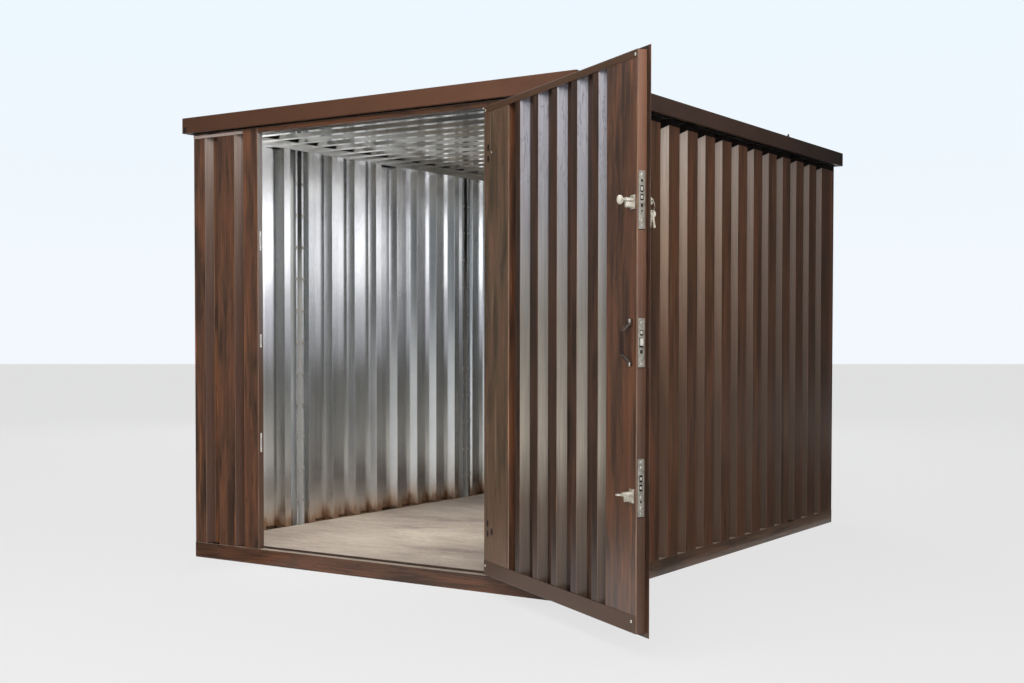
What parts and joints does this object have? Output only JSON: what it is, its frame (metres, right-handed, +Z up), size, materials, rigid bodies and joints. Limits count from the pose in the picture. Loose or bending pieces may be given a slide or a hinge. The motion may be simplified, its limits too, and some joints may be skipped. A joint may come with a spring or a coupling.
{
  "type": "storage container",
  "caption": "Walk-in storage container of ribbed steel sheet on a base frame, with a flat roof, a fascia and one outward-opening door with two locks.",
  "frame": {"origin": "on the ground at the centre of the body, at the middle of the central floor bearer's underside", "axes": "+Z up, -Y towards the front wall with the door, +X towards the hinge side"},
  "size_m": [2.8466, 3.8033, 2.11],
  "materials": {
    "wood_print_steel": "satin dark brown wood-grain print",
    "plain_brown_steel": "satin brown paint",
    "galvanised_steel": "dull zinc",
    "floor_panel": "matt chipboard",
    "nickel": "satin nickel"
  },
  "bodies": {
    "container": {"front_sill": "wood_print_steel", "rear_base_rail": "wood_print_steel", "left_base_rail": "wood_print_steel", "right_base_rail": "wood_print_steel", "floor_bearers": "galvanised_steel", "floor_board": "floor_panel", "front_left_post": "wood_print_steel", "front_right_post": "wood_print_steel", "rear_left_post": "wood_print_steel", "rear_right_post": "wood_print_steel", "left_wall_front": "wood_print_steel", "left_wall_middle": "wood_print_steel", "left_wall_rear": "wood_print_steel", "right_wall_front": "wood_print_steel", "right_wall_middle": "wood_print_steel", "right_wall_rear": "wood_print_steel", "rear_wall_left": "wood_print_steel", "rear_wall_right": "wood_print_steel", "front_wall_left": "wood_print_steel", "front_wall_right": "wood_print_steel", "left_seam_posts": "galvanised_steel", "right_seam_posts": "galvanised_steel", "rear_seam_post": "galvanised_steel", "left_jamb": "wood_print_steel", "right_jamb": "wood_print_steel", "door_header": "wood_print_steel", "strike_plates": "galvanised_steel", "front_top_rail": "galvanised_steel", "rear_top_rail": "galvanised_steel", "left_top_rail": "galvanised_steel", "right_top_rail": "galvanised_steel", "roof_sheet": "galvanised_steel", "front_fascia": "plain_brown_steel", "rear_fascia": "plain_brown_steel", "left_fascia": "plain_brown_steel", "right_fascia": "plain_brown_steel", "frame_hinges": "plain_brown_steel"},
    "door": {"door_sheet": "wood_print_steel", "door_hinge_stile": "wood_print_steel", "door_lock_stile": "wood_print_steel", "door_top_rail": "plain_brown_steel", "door_bottom_rail": "plain_brown_steel", "door_hinge_leaves": "plain_brown_steel", "lock_plates": "nickel", "lock_cylinders": "nickel", "escutcheons": "nickel", "pull_handle": "wood_print_steel", "keys": "nickel"},
    "upper_turn": {"upper_thumb_turn": "nickel"},
    "lower_turn": {"lower_thumb_turn": "nickel"}
  },
  "joints": [
    {"name": "door_swing", "type": "hinge", "parent": "container", "child": "door", "pos_m": [0.6625, -1.4995, 1.04], "axis": [0, 0, 1], "range_deg": [-147, 28]},
    {"name": "upper_turn_spin", "type": "hinge", "parent": "door", "child": "upper_turn", "pos_m": [1.68292, -2.24623, 1.51], "axis": [-0.5446, -0.8387, 0], "range_deg": [-90, 90]},
    {"name": "lower_turn_spin", "type": "hinge", "parent": "door", "child": "lower_turn", "pos_m": [1.68292, -2.24623, 0.548], "axis": [-0.5446, -0.8387, 0], "range_deg": [-90, 90]}
  ]
}
